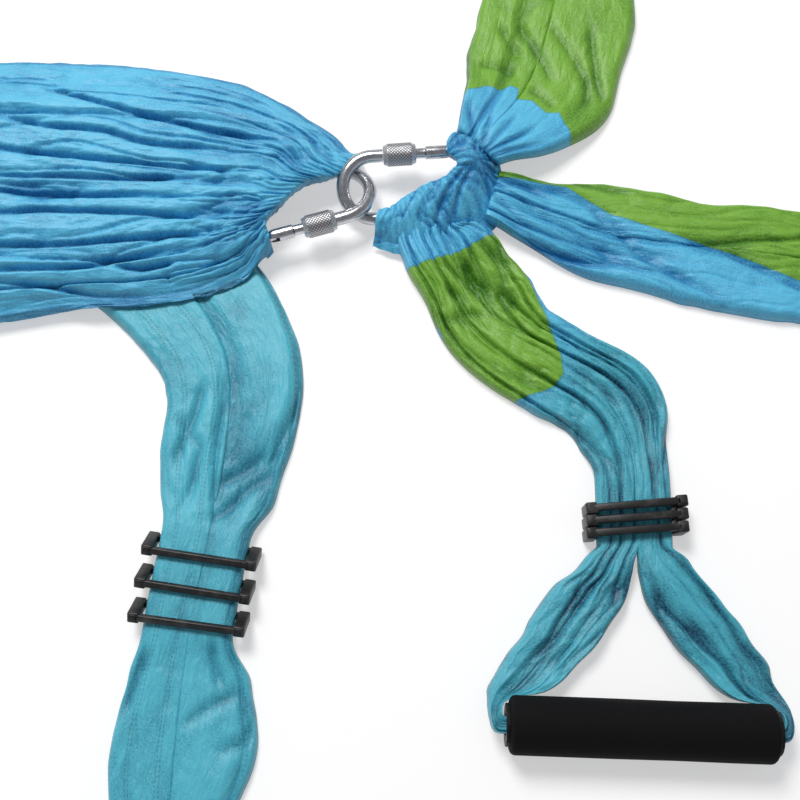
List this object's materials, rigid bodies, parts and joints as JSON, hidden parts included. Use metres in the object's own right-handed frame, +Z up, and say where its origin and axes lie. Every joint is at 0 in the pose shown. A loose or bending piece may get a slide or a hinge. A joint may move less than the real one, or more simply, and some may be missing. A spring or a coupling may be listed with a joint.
{
  "type": "aerial hammock",
  "caption": "Gathered nylon hammock hung from a screw-lock link, with a second link carrying looped handle straps with slide rings and foam grips, laid flat.",
  "frame": {"origin": "on the floor under the middle of the laid-out hammock's bounding box", "axes": "+Z up from the floor; +X from the folded cloth towards the two short straps; +Y towards the top of the long strap"},
  "size_m": [1.1408, 0.7806, 0.0641],
  "materials": {
    "sky_blue_nylon": "satin",
    "green_nylon": "satin",
    "teal_nylon": "satin",
    "zinc_plated_steel": "satin",
    "black_moulded_plastic": "satin",
    "black_foam": "matt"
  },
  "bodies": {
    "hammock": {"hammock_cloth": "sky_blue_nylon", "hammock_casing": "sky_blue_nylon", "link_a_frame": "zinc_plated_steel", "link_a_gate_pin": "zinc_plated_steel"},
    "link_a_gate": {"link_a_gate": "zinc_plated_steel"},
    "link_a_sleeve": {"link_a_sleeve": "zinc_plated_steel"},
    "straps": {"link_b_frame": "zinc_plated_steel", "link_b_gate_pin": "zinc_plated_steel", "strap_casing": "sky_blue_nylon", "short_strap": "teal_nylon", "middle_strap": "teal_nylon", "long_strap": "green_nylon"},
    "link_b_gate": {"link_b_gate": "zinc_plated_steel"},
    "link_b_sleeve": {"link_b_sleeve": "zinc_plated_steel"},
    "short_ring_1": {"short_ring_1": "black_moulded_plastic"},
    "short_ring_2": {"short_ring_2": "black_moulded_plastic"},
    "short_ring_3": {"short_ring_3": "black_moulded_plastic"},
    "short_handle": {"short_grip": "black_foam", "short_tube": "black_moulded_plastic", "short_left_bush": "black_moulded_plastic", "short_right_bush": "black_moulded_plastic"},
    "middle_ring_1": {"middle_ring_1": "black_moulded_plastic"},
    "middle_ring_2": {"middle_ring_2": "black_moulded_plastic"},
    "middle_ring_3": {"middle_ring_3": "black_moulded_plastic"},
    "middle_handle": {"middle_grip": "black_foam", "middle_tube": "black_moulded_plastic", "middle_left_bush": "black_moulded_plastic", "middle_right_bush": "black_moulded_plastic"},
    "long_ring_1": {"long_ring_1": "black_moulded_plastic"},
    "long_ring_2": {"long_ring_2": "black_moulded_plastic"},
    "long_ring_3": {"long_ring_3": "black_moulded_plastic"},
    "long_handle": {"long_grip": "black_foam", "long_tube": "black_moulded_plastic", "long_left_bush": "black_moulded_plastic", "long_right_bush": "black_moulded_plastic"}
  },
  "joints": [
    {"name": "link_swivel", "type": "hinge", "parent": "hammock", "child": "straps", "pos_m": [0.11013, 0.13518, 0.01493], "axis": [0, 0, 1], "range_deg": [-1, 5]},
    {"name": "link_a_gate_swing", "type": "hinge", "parent": "hammock", "child": "link_a_gate", "pos_m": [0.05877, 0.09883, 0.02102], "axis": [-0.0838, 0.2924, 0.9526], "range_deg": [0, 22.1]},
    {"name": "link_a_sleeve_slide", "type": "slide", "parent": "link_a_gate", "child": "link_a_sleeve", "axis": [-0.9613, -0.2756, 0], "range_m": [0, 0.012]},
    {"name": "link_b_gate_swing", "type": "hinge", "parent": "straps", "child": "link_b_gate", "pos_m": [0.16804, 0.1574, 0.02102], "axis": [0.0212, -0.3034, 0.9526], "range_deg": [0, 22.1]},
    {"name": "link_b_sleeve_slide", "type": "slide", "parent": "link_b_gate", "child": "link_b_sleeve", "axis": [0.9976, 0.0698, 0], "range_m": [0, 0.012]},
    {"name": "short_ring_1_slide", "type": "slide", "parent": "straps", "child": "short_ring_1", "axis": [0.013, 0.9999, 0], "range_m": [0, 0.008]},
    {"name": "short_ring_2_slide", "type": "slide", "parent": "straps", "child": "short_ring_2", "axis": [0.0195, 0.9998, 0], "range_m": [0, 0.008]},
    {"name": "short_ring_3_slide", "type": "slide", "parent": "straps", "child": "short_ring_3", "axis": [0.0261, 0.9997, 0], "range_m": [0, 0.008]},
    {"name": "short_handle_spin", "type": "hinge", "parent": "straps", "child": "short_handle", "pos_m": [0.27526, -0.1999, 0.0166], "axis": [-0.9994, 0.0349, 0], "continuous": true},
    {"name": "middle_ring_1_slide", "type": "slide", "parent": "straps", "child": "middle_ring_1", "axis": [0, 1, 0], "range_m": [0, 0.008]},
    {"name": "middle_ring_2_slide", "type": "slide", "parent": "straps", "child": "middle_ring_2", "axis": [0, 1, 0], "range_m": [0, 0.008]},
    {"name": "middle_ring_3_slide", "type": "slide", "parent": "straps", "child": "middle_ring_3", "axis": [0, 1, 0], "range_m": [0, 0.008]},
    {"name": "middle_handle_spin", "type": "hinge", "parent": "straps", "child": "middle_handle", "pos_m": [0.48159, -0.29184, 0.0166], "axis": [-1, 0, 0], "continuous": true},
    {"name": "long_ring_1_slide", "type": "slide", "parent": "straps", "child": "long_ring_1", "axis": [0.1494, 0.9888, 0], "range_m": [0, 0.008]},
    {"name": "long_ring_2_slide", "type": "slide", "parent": "straps", "child": "long_ring_2", "axis": [0.1528, 0.9883, 0], "range_m": [0, 0.008]},
    {"name": "long_ring_3_slide", "type": "slide", "parent": "straps", "child": "long_ring_3", "axis": [0.1318, 0.9913, 0], "range_m": [0, 0.008]},
    {"name": "long_handle_spin", "type": "hinge", "parent": "straps", "child": "long_handle", "pos_m": [0.00285, -0.37129, 0.0166], "axis": [-0.9994, 0.0349, 0], "continuous": true}
  ],
  "couplings": [
    {"joint": "link_a_gate_swing", "follows": "link_a_sleeve_slide", "rad_per_m": 32},
    {"joint": "link_b_gate_swing", "follows": "link_b_sleeve_slide", "rad_per_m": 32},
    {"joint": "short_ring_2_slide", "follows": "short_ring_1_slide", "ratio": 1},
    {"joint": "short_ring_3_slide", "follows": "short_ring_1_slide", "ratio": 1},
    {"joint": "middle_ring_2_slide", "follows": "middle_ring_1_slide", "ratio": 1},
    {"joint": "middle_ring_3_slide", "follows": "middle_ring_1_slide", "ratio": 1}
  ]
}
